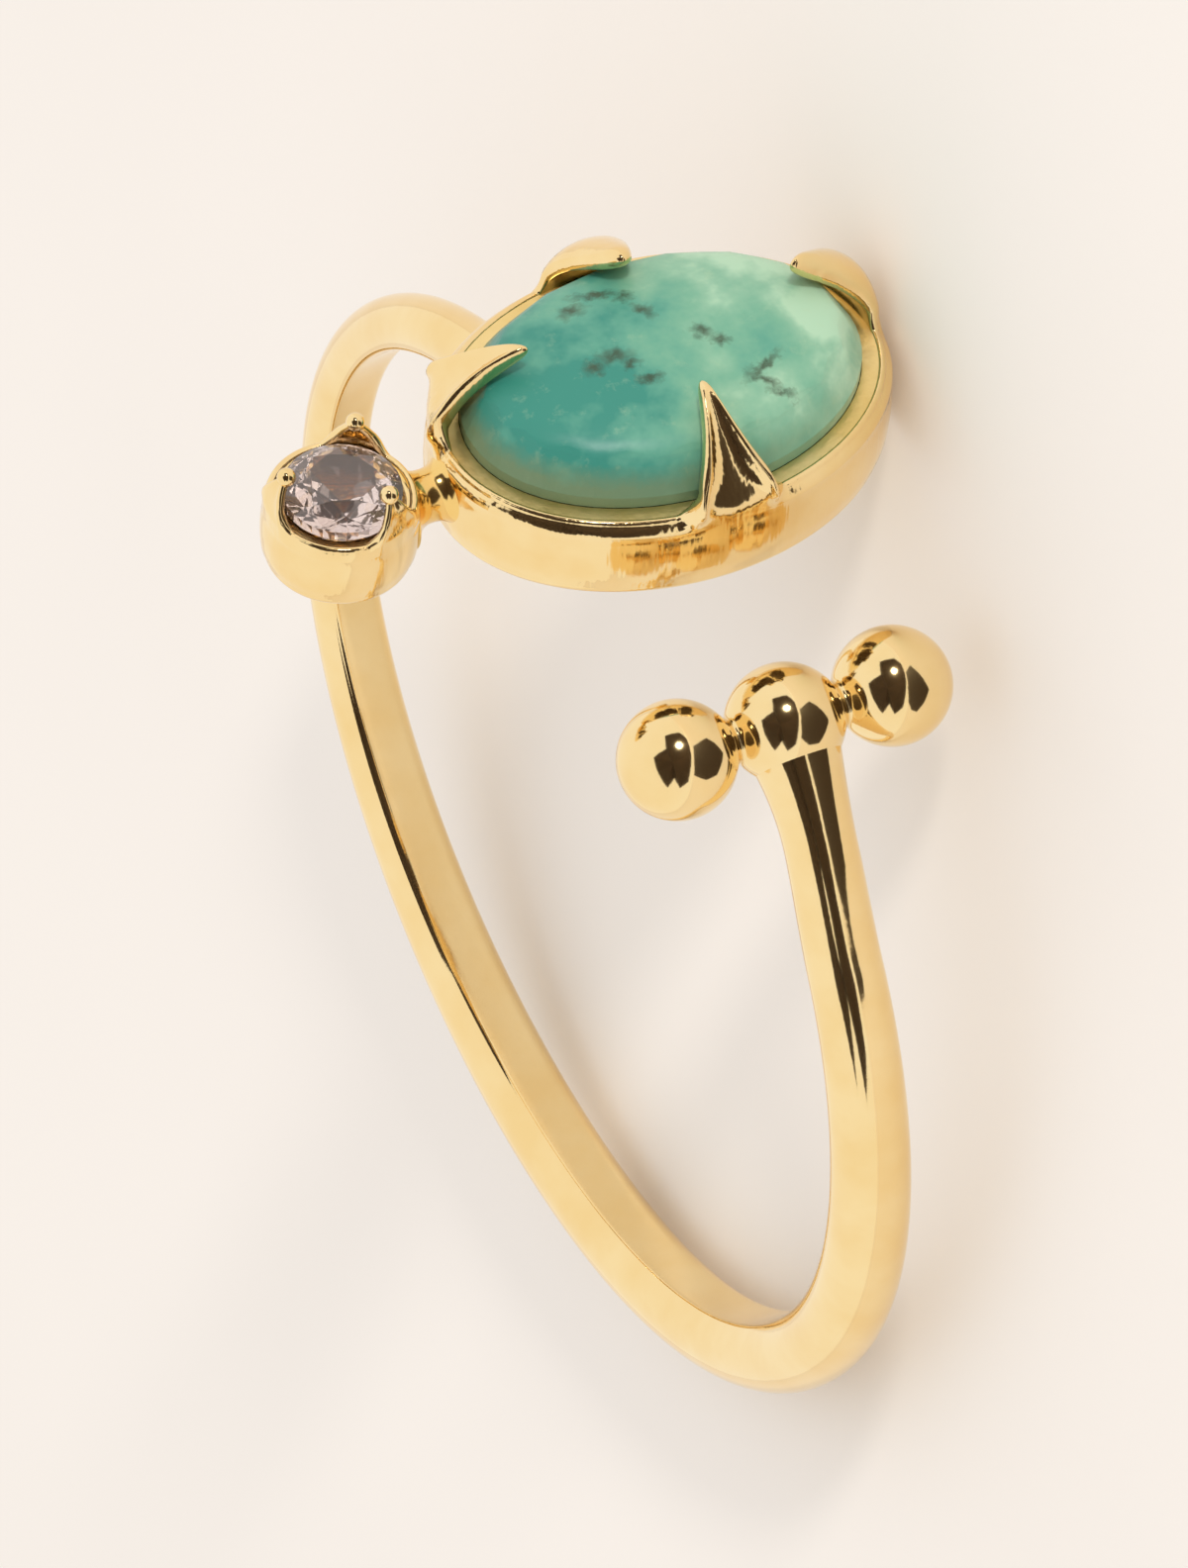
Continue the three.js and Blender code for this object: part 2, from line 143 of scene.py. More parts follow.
CUP_GAP = 0.55

# The wall of both cups from its foot to its edge, whose rounding takes up at most a share of the
# height over the shoulder
FOOT_ROUND = 0.16
FOOT_HEIGHT = 0.2
FOOT_INSET = 0.06
WALL_SWELL = 0.11
SWELL_START = 0.15
SWELL_TURN = 0.62
SWELL_FADE = 0.45
SHOULDER = -0.32
LIP = 0.14
MOST_ROUNDING = 0.8

# Claws: powers and shares of their shape, how soon they take on thickness, groove and round end,
# and the radius of the beads on the round cup's claws
CLAW_BEND = 1.5
CLAW_NARROWING = 1.3
CLAW_ROUNDING = 1.8
CLAW_TIP_ROUND = 0.95
CLAW_THICKENING = 3
CLAW_GROOVING = 3
CLAW_END_GROWTH = 4
CLAW_BEAD = 0.16

# The seat inside the wall, as shares of its width and depth, first the ledge under the bearing
SEAT_STEPS = (
    (0.97, 0.36),
    (0.5, 0.37),
    (0.46, 0.42),
    (0.44, 0.8),
    (0.38, 1.0),
    (0.06, 1.03),
    (0.0, 1.2),
)
SEAT_FOOT = 0.05

# The bearing round the stone, whose top lies under the girdle by a share of the seat's depth
BEARING_DEPTH = 0.25
BEARING_TILT = 0.02
BEARING_STONE_GAP = 0.01
BEARING_SINK = 0.03
BEARING_FOOT = 0.04

# Floor of a cup
CUP_FLOOR_THICKNESS = 0.35
CUP_FLOOR_EDGE = 0.12
CUP_FLOOR_EDGE_HEIGHT = 0.02

# Solder between the cups: widths and heights are half sizes, in the middle and at both ends
BRIDGE_SINK = 0.22
BRIDGE_WIDTHS = (0.42, 0.82)
BRIDGE_HEIGHTS = (0.5, 0.74)
BRIDGE_SPREAD = 2.4
BRIDGE_DEPTH = 0.78

# Head
HEAD_SIDE = 1.04
CUP_SINK = 0.12
HEAD_LIFT_ANGLE = 22

# How finely the meshes are divided
BAND_ROWS = 420
BAND_ARC_STEPS = 40
BAND_FILLET_STEPS = 6
BAND_FLAT_PLACES = (0.6, 0.2, -0.2, -0.6)
BAR_ROWS = 210
BAR_SIDES = 96
OVAL_COLUMNS = 720
ROUND_COLUMNS = 320
FOOT_STEPS = 8
WALL_STEPS = 8
CLAW_STEPS = 16
CAP_STEPS = 12
BEARING_SIDES = 240
CUP_FLOOR_SIDES = 96
BEAD_ROWS = 16
BEAD_SIDES = 24
BRIDGE_ROWS = 40
BRIDGE_SIDES = 48


def smooth(share):
    share = min(1.0, max(0.0, share))
    return share * share * (3 - 2 * share)


def lerp(start, end, share):
    return start + (end - start) * share


def circle(sides):
    """Cosine and sine of each step round a circle."""
    turns = [2 * math.pi * side / sides for side in range(sides)]
    return [(math.cos(turn), math.sin(turn)) for turn in turns]


def cup_reach(cup):
    """How far a cup goes from its middle along the finger."""
    return cup["half_length"] + cup["clearance"] + cup["wall"]


ROUND_CUP["along"] = -(cup_reach(OVAL_CUP) + CUP_GAP + cup_reach(ROUND_CUP))


# The ring's own axes, read from the stones of the frame


def node_points(name):
    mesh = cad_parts[name].data
    return np.array([tuple(vertex.co) for vertex in mesh.vertices])


def ring_axes():
    """The girdle's centre, the finger's direction, the way the stone looks, and the way to the bar."""
    points = np.unique(node_points("oval_stone").round(7), axis=0)
    middle = points.mean(axis=0)
    _, axes = np.linalg.eigh(np.cov((points - middle).T))
    finger, out = axes[:, 2], axes[:, 0]
    if np.dot(middle - node_points("round_stone").mean(axis=0), finger) < 0:
        finger = -finger
    if np.dot(middle - node_points("ring_metal").mean(axis=0), out) < 0:
        out = -out
    to_bar = np.cross(finger, out)
    along, across = points @ finger, points @ to_bar
    at_end = along > along.max() - 0.01 * np.ptp(along)
    heights = (points @ out)[at_end]
    centre = (
        (along.min() + along.max()) / 2 * finger
        + (across.min() + across.max()) / 2 * to_bar
        + (heights.min() + heights.max()) / 2 * out
    )
    return Vector(centre), Vector(finger), Vector(out), Vector(to_bar)


GIRDLE_CENTRE, FINGER, OUT, TO_BAR = ring_axes()


def band_width(angle):
    middle = (BAND_WIDTH_BACK + BAND_WIDTH_FRONT) / 2
    swing = (BAND_WIDTH_BACK - BAND_WIDTH_FRONT) / 2
    return middle - swing * math.cos(math.radians(angle))


def band_radius(angle):
    pressed = OUT_OF_ROUND * math.cos(math.radians(2 * (angle - NARROW_AXIS_ANGLE)))
    flat_depth = math.sqrt((band_width(angle) / 2) ** 2 - (BAND_FLAT / 2) ** 2)
    return BORE_RADIUS - pressed + flat_depth


def band_side(angle):
    return BAND_SIDE_STEP * (0.5 - (angle - BAR_ANGLE) / (HEAD_ANGLE - BAR_ANGLE))


GIRDLE_RADIUS = band_radius(HEAD_ANGLE) + band_width(HEAD_ANGLE) / 2 + OVAL_CUP["depth"]
HEAD_ALONG = band_side(HEAD_ANGLE) + HEAD_SIDE
RING_CENTRE = GIRDLE_CENTRE - MM * (HEAD_ALONG * FINGER + GIRDLE_RADIUS * OUT)


def hoop_direction(angle):
    """The direction from the hoop's middle to an angle round it."""
    turn = math.radians(angle - HEAD_ANGLE)
    return math.cos(turn) * OUT + math.sin(turn) * TO_BAR


def hoop_point(along, radius, angle):
    return RING_CENTRE + MM * (along * FINGER + radius * hoop_direction(angle))


def head_point(along, across, up):
    return GIRDLE_CENTRE + MM * (along * FINGER + across * TO_BAR + up * OUT)


# Mesh building


def add_piece(name, mesh, material):
    mesh.materials.append(material)
    piece = bpy.data.objects.new(name, mesh)
    bpy.context.scene.collection.objects.link(piece)
    return piece


def add_mesh(name, points, faces, material, flat=False):
    mesh = bpy.data.meshes.new(name)
    mesh.from_pydata([tuple(point) for point in points], [], faces)
    mesh.update()
    mesh.polygons.foreach_set("use_smooth", [not flat] * len(mesh.polygons))
    return add_piece(name, mesh, material)


def facing_out(piece):
    """Turns the faces of a closed mesh outwards."""
    mesh = piece.data
    mesh.calc_loop_triangles()
    points = np.array([tuple(vertex.co) for vertex in mesh.vertices])
    corners = points[np.array([tuple(tri.vertices) for tri in mesh.loop_triangles])]
    volume = np.einsum("ij,ij->i", corners[:, 0], np.cross(corners[:, 1], corners[:, 2])).sum()
    if volume < 0:
        mesh.flip_normals()
    return piece


def skinned(name, rows, material, joined=False, capped=False, flat=False):
    """A skin over rows of points, each row a closed loop."""
    count = len(rows[0])
    last = len(rows) if joined else len(rows) - 1
    faces = []
    for row in range(last):
        here, there = row * count, (row + 1) % len(rows) * count
        for column in range(count):
            beside = (column + 1) % count
            faces.append((here + column, here + beside, there + beside, there + column))
    if capped:
        faces.append(tuple(reversed(range(count))))
        start = (len(rows) - 1) * count
        faces.append(tuple(range(start, start + count)))
    points = [point for row in rows for point in row]
    return facing_out(add_mesh(name, points, faces, material, flat))


# Shader nodes


def new_material(name):
    material = bpy.data.materials.new(name)
    material.use_nodes = True
    tree = material.node_tree
    return material, tree, tree.nodes["Principled BSDF"]


def feed(tree, value, socket):
    """Gives a socket the output of a node, or a fixed value."""
    if isinstance(value, bpy.types.NodeSocket):
        tree.links.new(value, socket)
    else:
        socket.default_value = value


def math_node(tree, operation, first, second):
    node = tree.nodes.new("ShaderNodeMath")
    node.operation = operation
    feed(tree, first, node.inputs[0])
    feed(tree, second, node.inputs[1])
    return node.outputs[0]


def vector_node(tree, operation, *values):
    node = tree.nodes.new("ShaderNodeVectorMath")
    node.operation = operation
    for value, socket in zip(values, node.inputs):
        feed(tree, value, socket)
    return node.outputs["Value" if operation in ("DOT_PRODUCT", "LENGTH") else "Vector"]


def noise(tree, scale, detail, rough=0.5, place=None, output="Fac"):
    """Clouds over the piece's own coordinates, or over the place given."""
    node = tree.nodes.new("ShaderNodeTexNoise")
    node.inputs["Scale"].default_value = scale
    node.inputs["Detail"].default_value = detail
    node.inputs["Roughness"].default_value = rough
    if place is None:
        place = tree.nodes.new("ShaderNodeTexCoord").outputs["Object"]
    tree.links.new(place, node.inputs["Vector"])
    return node.outputs[output]


def ramp(tree, value, stops):
    """Colours, or greys given as one number, between two places of a value."""
    node = tree.nodes.new("ShaderNodeValToRGB")
    elements = node.color_ramp.elements
    while len(elements) < len(stops):
        elements.new(0.5)
    for element, (place, colour) in zip(elements, stops):
        element.position = place
        element.color = (*colour, 1) if isinstance(colour, tuple) else (colour, colour, colour, 1)
    tree.links.new(value, node.inputs["Fac"])
    return node.outputs["Color"]


def spread(tree, value, low, high):
    node = tree.nodes.new("ShaderNodeMapRange")
    node.inputs["To Min"].default_value = low
    node.inputs["To Max"].default_value = high
    tree.links.new(value, node.inputs["Value"])
    return node.outputs["Result"]


def mixed(tree, share, body, colour):
    """A node's colour, with a fixed colour over it by a share."""
    node = tree.nodes.new("ShaderNodeMix")
    node.data_type = "RGBA"
    tree.links.new(share, node.inputs["Factor"])
    tree.links.new(body, node.inputs["A"])
    node.inputs["B"].default_value = (*colour, 1)
    return node.outputs["Result"]


def bump(tree, height, distance, strength, normal=None):
    node = tree.nodes.new("ShaderNodeBump")
    node.inputs["Distance"].default_value = distance
    node.inputs["Strength"].default_value = strength
    tree.links.new(height, node.inputs["Height"])
    if normal is not None:
        tree.links.new(normal, node.inputs["Normal"])
    return node.outputs["Normal"]


def stone_place(tree):
    """Where a surface point lies on the oval stone in millimetres: along, across and up."""
    place = tree.nodes.new("ShaderNodeTexCoord").outputs["Object"]
    shift = vector_node(tree, "SUBTRACT", place, GIRDLE_CENTRE)
    combined = tree.nodes.new("ShaderNodeCombineXYZ")
    for socket, axis in zip(combined.inputs, (FINGER, TO_BAR, OUT)):
        tree.links.new(vector_node(tree, "DOT_PRODUCT", shift, axis / MM), socket)
    return combined.outputs[0]


# Gold. Scales are per metre, but streaks per millimetre, and heights are in metres.
CLOUD_SCALE = 900.0
GRAIN_SCALE = 5000.0
WAVE_SCALE = 1500.0
WAVE_HEIGHT = 0.00001
HAIR_SCALE = 14000.0
HAIR_HEIGHT = 0.000002
STREAK_SCALE = 2.2
STREAK_HEIGHT = 0.00004
STREAK_STRETCH = (1.0, 1.0, 0.12)


def gold_material(name, light, deep, roughness, streaks=False):
    """Gold plate with clouds between two colours, polishing waves, hairlines and, on cups, file streaks."""
    material, tree, shader = new_material(name)
    cloud = noise(tree, CLOUD_SCALE, detail=3.0)
    tree.links.new(ramp(tree, cloud, [(0.35, light), (0.7, deep)]), shader.inputs["Base Color"])
    shader.inputs["Metallic"].default_value = 1.0
    grain = noise(tree, GRAIN_SCALE, detail=6.0, rough=0.65)
    tree.links.new(spread(tree, grain, *roughness), shader.inputs["Roughness"])
    normal = bump(tree, noise(tree, WAVE_SCALE, detail=2.0), WAVE_HEIGHT, 0.35)
    if streaks:
        stretched = tree.nodes.new("ShaderNodeMapping")
        stretched.inputs["Scale"].default_value = STREAK_STRETCH
        tree.links.new(stone_place(tree), stretched.inputs["Vector"])
        streak = noise(tree, STREAK_SCALE, detail=3.0, rough=0.6, place=stretched.outputs[0])
        normal = bump(tree, streak, STREAK_HEIGHT, 0.55, normal)
    normal = bump(tree, noise(tree, HAIR_SCALE, detail=3.0), HAIR_HEIGHT, 0.25, normal)
    tree.links.new(normal, shader.inputs["Normal"])
    return material


# Turquoise: its colours from deep to pale places, then those of veins, the painted shade at its edge, and
# specks
STONE_TONES = [
    (0.30, (0.035, 0.23, 0.18)),
    (0.44, (0.10, 0.32, 0.235)),
    (0.56, (0.155, 0.375, 0.26)),
    (0.68, (0.23, 0.44, 0.305)),
    (0.80, (0.38, 0.58, 0.415)),
]
VEIN_TONE = (0.40, 0.53, 0.34)
# Colour of the painted shade at the stone's edge, near the girdle
EDGE_SHADE_TONE = (0.15, 0.20, 0.10)
SPECK_TONE = (0.035, 0.05, 0.025)

# Clouds and veins, with scales per millimetre, and how much paler the stone gets with each
# millimetre away from the clear one
BODY_SCALE = 0.75
BODY_DRIFT = 0.095
VEIN_SCALE = 2.6
VEIN_STOPS = [(0.58, 0.0), (0.76, 0.3)]

# Painted olive shade at the edge, darkest low by the girdle: how the veins fray it, between which
# heights it ends, and how it weakens away from the clear stone
EDGE_SHADE_FRAY = -0.35
EDGE_SHADE_STOPS = [(0.08, 1.0), (0.42, 0.0)]
EDGE_SHADE_DRIFT = -0.22
EDGE_SHADE_MIDDLE = 0.55
EDGE_SHADE_STRENGTHS = [(0.0, 0.25), (1.0, 0.85)]

# Specks of matrix: place along and across the stone, length, width and turn
SPECKS = (
    (-1.08, -1.25, 0.24, 0.16, 0),
    (-0.18, -1.15, 0.15, 0.13, 0),
    (-0.05, -0.70, 0.22, 0.12, 60),
    (-0.55, -1.42, 0.40, 0.09, 20),
    (-0.95, 0.06, 0.30, 0.16, 15),
    (-1.38, 0.16, 0.20, 0.15, 0),
    (-0.78, 0.32, 0.16, 0.10, 0),
    (-0.62, 0.72, 0.20, 0.10, 20),
    (0.60, 0.14, 0.20, 0.14, 40),
    (0.82, 0.42, 0.16, 0.10, 30),
    (1.22, 1.16, 0.42, 0.09, -25),
    (1.14, 1.42, 0.30, 0.10, 50),
    (1.35, 1.70, 0.22, 0.09, 30),
)
SPECK_HEIGHT = 1.05
SPECK_SIZE = 1.4
SPECK_RAG_SCALE = 5.0
SPECK_RAG = (0.45, 0.45, 0)
SPECK_STOPS = [(0.1, 0.85), (1.0, 0.0)]

# Grain, with its scale per metre and its height in metres
STONE_GRAIN_SCALE = 9000.0
STONE_GRAIN_HEIGHT = 0.000004


def speck_cover(tree, place):
    """How dark the specks of matrix make a place, each a small ragged blob, and 0 outside them."""
    ragged = noise(tree, SPECK_RAG_SCALE, detail=3.0, rough=0.6, place=place, output="Color")
    centred = vector_node(tree, "SUBTRACT", ragged, (0.5, 0.5, 0.5))
    moved = vector_node(tree, "MULTIPLY_ADD", centred, SPECK_RAG, place)
    cover = None
    for along, across, length, width, turn in SPECKS:
        blob = tree.nodes.new("ShaderNodeMapping")
        blob.vector_type = "TEXTURE"
        blob.inputs["Location"].default_value = (along, across, SPECK_HEIGHT)
        blob.inputs["Rotation"].default_value = (0, 0, math.radians(turn))
        blob.inputs["Scale"].default_value = (SPECK_SIZE * length, SPECK_SIZE * width, 1)
        tree.links.new(moved, blob.inputs["Vector"])
        inside = ramp(tree, vector_node(tree, "LENGTH", blob.outputs[0]), SPECK_STOPS)
        cover = inside if cover is None else math_node(tree, "MAXIMUM", cover, inside)
    return cover


def turquoise_material():
    """Blue-green stone, paler at one end, with painted olive shade at its edge and dark specks of matrix.
    """
    material, tree, shader = new_material("turquoise")
    place = stone_place(tree)
    parts = tree.nodes.new("ShaderNodeSeparateXYZ")
    tree.links.new(place, parts.inputs[0])
    along, _, up = parts.outputs
    cloud = noise(tree, BODY_SCALE, detail=4.0, rough=0.55, place=place)
    tone = math_node(tree, "ADD", cloud, math_node(tree, "MULTIPLY", along, BODY_DRIFT))
    veins = noise(tree, VEIN_SCALE, detail=6.0, rough=0.7, place=place)
    body = mixed(tree, ramp(tree, veins, VEIN_STOPS), ramp(tree, tone, STONE_TONES), VEIN_TONE)
    # Painted shade: the stone is darkened to olive low on its side, near the girdle, and more towards the
    # clear stone
    height = math_node(tree, "ADD", up, math_node(tree, "MULTIPLY", veins, EDGE_SHADE_FRAY))
    side = math_node(tree, "ADD", math_node(tree, "MULTIPLY", along, EDGE_SHADE_DRIFT), EDGE_SHADE_MIDDLE)
    edge = math_node(tree, "MULTIPLY", ramp(tree, height, EDGE_SHADE_STOPS), ramp(tree, side, EDGE_SHADE_STRENGTHS))
    body = mixed(tree, edge, body, EDGE_SHADE_TONE)
    body = mixed(tree, speck_cover(tree, place), body, SPECK_TONE)
    tree.links.new(body, shader.inputs["Base Color"])
    shader.inputs["Roughness"].default_value = 0.36
    shader.inputs["IOR"].default_value = 1.4
    shader.inputs["Subsurface Weight"].default_value = 0.12
    shader.inputs["Subsurface Radius"].default_value = (0.3, 0.6, 0.5)
    shader.inputs["Subsurface Scale"].default_value = 0.0005
    fine = noise(tree, STONE_GRAIN_SCALE, detail=4.0)
    tree.links.new(bump(tree, fine, STONE_GRAIN_HEIGHT, 0.3), shader.inputs["Normal"])
    return material


# Clear stone
CLEAR_TINT_SCALE = 1200.0
CLEAR_TINTS = [(0.3, (1.0, 0.84, 0.79)), (0.7, (0.98, 0.80, 0.76))]


def clear_material():
    """A clear cut stone with a faint pink cast."""
    material, tree, shader = new_material("clear_stone")
    tint = noise(tree, CLEAR_TINT_SCALE, detail=2.0)
    tree.links.new(ramp(tree, tint, CLEAR_TINTS), shader.inputs["Base Color"])
    shader.inputs["Transmission Weight"].default_value = 0.94
    shader.inputs["IOR"].default_value = 1.72
    shader.inputs["Roughness"].default_value = 0.01
    return material


GOLD = gold_material("polished_gold", (0.94, 0.73, 0.38), (0.91, 0.67, 0.31), (0.05, 0.12))
CUP_GOLD = gold_material("cup_gold", (0.94, 0.73, 0.38), (0.91, 0.66, 0.30), (0.06, 0.14), streaks=True)
SCORED_GOLD = gold_material("scored_gold", (0.93, 0.74, 0.36), (0.84, 0.62, 0.24), (0.3, 0.5), streaks=True)
SOLDER = gold_material("solder_gold", (0.93, 0.66, 0.25), (0.90, 0.58, 0.18), (0.08, 0.2))
TURQUOISE = turquoise_material()
CLEAR = clear_material()


# Hoop


def band_outline(width):
    """The band's section: round outside, flat inside, with rounded inner edges."""
    round_off = BAND_EDGE_ROUND
    radius = width / 2
    depth = math.sqrt(radius**2 - (BAND_FLAT / 2) ** 2)
    flat = math.sqrt((radius - round_off) ** 2 - (depth - round_off) ** 2)
    flat_half = math.asin(flat / (radius - round_off))
    points = []
    for step in range(BAND_ARC_STEPS + 1):
        turn = math.pi + flat_half + (2 * math.pi - 2 * flat_half) * step / BAND_ARC_STEPS
        points.append((math.sin(turn) * radius, math.cos(turn) * radius))
    fillet = []
    for step in range(1, BAND_FILLET_STEPS + 1):
        turn = math.pi - flat_half + flat_half * step / BAND_FILLET_STEPS
        fillet.append((flat + math.sin(turn) * round_off, round_off - depth + math.cos(turn) * round_off))
    points += fillet
    points += [(share * flat, -depth) for share in BAND_FLAT_PLACES]
    points += [(-across, out) for across, out in reversed(fillet)]
    return points


def band():
    rows = []
    for step in range(BAND_ROWS + 1):
        angle = lerp(BAR_ANGLE, HEAD_ANGLE, step / BAND_ROWS)
        from_bar = math.radians(angle - BAR_ANGLE) * band_radius(angle)
        flare = max(0.0, 1 - from_bar / FLARE_LENGTH) ** 2
        outline = band_outline(lerp(band_width(angle), FLARE_WIDTH, flare))
        lift = BALL_OUT * smooth(1 - from_bar / (2 * FLARE_LENGTH))
        lift += CUP_SINK * smooth(1 - (HEAD_ANGLE - angle) / HEAD_LIFT_ANGLE)
        radius = band_radius(angle) + lift
        rows.append([hoop_point(band_side(angle) + across, radius + out, angle) for across, out in outline])
    return skinned("band", rows, GOLD, capped=True)


# Bar of balls


def bar_profile():
    """Radius of the bar at each place along it: three balls run together with solder."""
    reach = BALL_PITCH + BALL_RADIUS
    power = BALL_NECK_SHARPNESS
    profile = []
    for step in range(1, BAR_ROWS):
        along = -reach * math.cos(math.pi * step / BAR_ROWS)
        beside = min(abs(along - middle) for middle in (-BALL_PITCH, 0.0, BALL_PITCH))
        ball = math.sqrt(max(0.0, BALL_RADIUS**2 - beside**2))
        neck = BALL_NECK_RADIUS if abs(along) < BALL_PITCH else 0.0
        profile.append((along, (ball**power + neck**power) ** (1 / power)))
    return profile


def bar_centre():
    return hoop_point(band_side(BAR_ANGLE), band_radius(BAR_ANGLE) + BALL_OUT, BAR_ANGLE)


def ball_bar():
    out = hoop_direction(BAR_ANGLE)
    across = FINGER.cross(out)
    centre = bar_centre()
    rows = []
    for along, radius in bar_profile():
        offsets = [along * FINGER + radius * (cos * out + sin * across) for cos, sin in circle(BAR_SIDES)]
        rows.append([centre + MM * offset for offset in offsets])
    return skinned("ball_bar", rows, GOLD, capped=True)


# Cups


def outline_point(cup, angle, outside, up):
    """A point at a distance outside the outline of a cup's stone, and at a height over its girdle."""
    turn = math.radians(angle)
    normal = Vector((cup["half_width"] * math.cos(turn), cup["half_length"] * math.sin(turn))).normalized()
    along = cup["along"] + cup["half_length"] * math.cos(turn) + normal.x * outside
    across = cup["half_width"] * math.sin(turn) + normal.y * outside
    return head_point(along, across, up)


def outline_ring(cup, sides, outside, up, start=0):
    return [outline_point(cup, start + 360 * side / sides, outside, up) for side in range(sides)]


def nearest_claw(cup, angle):
    """How far a place outside the cup lies from the nearest claw's middle, and that claw's sizes."""
    outer = cup["clearance"] + cup["wall"]
    claws = []
    for middle, *sizes in cup["claws"]:
        apart = abs((angle - middle + 540) % 360 - 180)
        turn = math.radians(middle)
        along = (cup["half_length"] + outer) * math.sin(turn)
        across = (cup["half_width"] + outer) * math.cos(turn)
        claws.append((math.radians(apart) * math.hypot(along, across), *sizes))
    return min(claws)


def edge_height(cup, away, base, tip):
    """The height of the wall's edge, which rises to a rounded tip at each claw."""
    rise = min(1.0, max(0.0, (base - 2 * away) / (base - tip))) ** CLAW_NARROWING
    rounding = tip / 2 * (1 - math.sqrt(1 - min(CLAW_TIP_ROUND, 2 * away / tip) ** 2))
    return lerp(cup["edge"], cup["claw_height"], rise) - rounding * rise


def claw_middle(cup, away, base, tip, up):
    """1 in the middle of a claw's outer face, 0 at its flanks and at its foot."""
    level = min(1.0, max(0.0, (up - cup["edge"]) / (cup["claw_height"] - cup["edge"])))
    half = lerp(base, tip, level ** (1 / CLAW_NARROWING)) / 2
    return max(0.0, 1 - (away / half) ** 2) * smooth(CLAW_GROOVING * level)


def claw_lean(cup, up):
    """How far in the claw's inner face has bent, and how steeply it leans, at a height."""
    height = cup["claw_height"] - GIRDLE / 2
    share = max(0.0, up - GIRDLE / 2) / height
    reach = cup["clearance"] + cup["claw_reach"]
    return reach * share**CLAW_BEND, reach * CLAW_BEND * share ** (CLAW_BEND - 1) / height


def claw_point(cup, up, out, beyond=0.0):
    """A point of the section at a distance out from the claw's inner face, and further along it."""
    lean, slope = claw_lean(cup, up)
    length = math.hypot(1, slope)
    offset = cup["clearance"] - lean + (out - beyond * slope) / length
    return offset, up + (out * slope + beyond) / length


def foot_section(cup):
    """Offsets and heights of the wall's rounded foot and of its outer face up to the shoulder."""
    outer = cup["clearance"] + cup["wall"] - FOOT_INSET
    depth = cup["depth"]
    section = []
    for step in range(FOOT_STEPS + 1):
        turn = math.pi / 2 * step / FOOT_STEPS
        rounding = FOOT_ROUND * (1 - math.sin(turn))
        section.append((outer - rounding, -depth + FOOT_HEIGHT * (1 - math.cos(turn))))
    for step in range(1, WALL_STEPS + 1):
        share = step / WALL_STEPS
        turn = math.pi * SWELL_TURN * lerp(SWELL_START, 1, share)
        swell = WALL_SWELL * math.sin(turn) * (1 - share * SWELL_FADE)
        section.append((outer + swell, lerp(FOOT_HEIGHT - depth, SHOULDER, share)))
    return section


def seat_section(cup):
    """Offsets and heights of the seat, down to the floor of the cup."""
    section = []
    for offset, up in SEAT_STEPS:
        section.append((lerp(-cup["seat_inset"], cup["clearance"], offset), -cup["seat_depth"] * up))
    section.append((-cup["seat_inset"], SEAT_FOOT - cup["depth"]))
    return section


def cup_section(cup, angle):
    """Offsets and heights of the wall, from its foot, over its edge and down to its seat."""
    away, base, tip, claw_thickness, groove = nearest_claw(cup, angle)
    edge = edge_height(cup, away, base, tip)
    rise = (edge - cup["edge"]) / (cup["claw_height"] - cup["edge"])
    thickness = lerp(LIP, claw_thickness, smooth(CLAW_THICKENING * rise))
    end = thickness - groove * claw_middle(cup, away, base, tip, edge)
    stretch = lerp(1, CLAW_ROUNDING, smooth(CLAW_END_GROWTH * rise))
    cap = min(end / 2 * stretch, MOST_ROUNDING * (edge - SHOULDER))
    top = edge - cap / math.hypot(1, claw_lean(cup, edge)[1])
    end = thickness - groove * claw_middle(cup, away, base, tip, top)
    section = foot_section(cup)
    for step in range(1, CLAW_STEPS + 1):
        share = step / CLAW_STEPS
        up = lerp(SHOULDER, top, share)
        out = lerp(cup["wall"], thickness, share**2) - groove * claw_middle(cup, away, base, tip, up)
        section.append(claw_point(cup, up, out))
    ledge = -cup["seat_depth"] * SEAT_STEPS[0][1]
    for step in range(1, CAP_STEPS):
        turn = math.pi * step / CAP_STEPS
        offset, up = claw_point(cup, top, end / 2 * (1 + math.cos(turn)), cap * math.sin(turn))
        section.append((offset, max(up, ledge) if step > CAP_STEPS / 2 else up))
    for step in range(CLAW_STEPS, 0, -2):
        section.append(claw_point(cup, lerp(ledge, max(top, ledge), step / CLAW_STEPS), 0))
    return section + seat_section(cup)


def cup_wall(name, cup, columns):
    rows = []
    for column in range(columns):
        angle = 360 * column / columns
        rows.append([outline_point(cup, angle, offset, up) for offset, up in cup_section(cup, angle)])
    return skinned(name, rows, CUP_GOLD, joined=True)


def bearing(name, cup):
    """The matt ledge between the stone and the wall, scored by the setter's tool."""
    high = -BEARING_DEPTH * cup["seat_depth"]
    low = -SEAT_STEPS[0][1] * cup["seat_depth"] - BEARING_FOOT
    outer = cup["clearance"] + BEARING_SINK
    section = (
        (BEARING_STONE_GAP, high),
        (outer, high + BEARING_TILT),
        (outer, low),
        (BEARING_STONE_GAP, low),
    )
    rows = []
    for side in range(BEARING_SIDES):
        angle = 360 * side / BEARING_SIDES
        rows.append([outline_point(cup, angle, offset, up) for offset, up in section])
    return skinned(name, rows, SCORED_GOLD, joined=True, flat=True)


def cup_floor(name, cup):
    edge = cup["wall"] / 2 - cup["seat_inset"]
    depth = cup["depth"]
    rows = [
        outline_ring(cup, CUP_FLOOR_SIDES, edge - CUP_FLOOR_EDGE, -depth),
        outline_ring(cup, CUP_FLOOR_SIDES, edge, CUP_FLOOR_EDGE_HEIGHT - depth),
        outline_ring(cup, CUP_FLOOR_SIDES, edge, CUP_FLOOR_THICKNESS - depth),
    ]
    return skinned(name, rows, GOLD, capped=True)


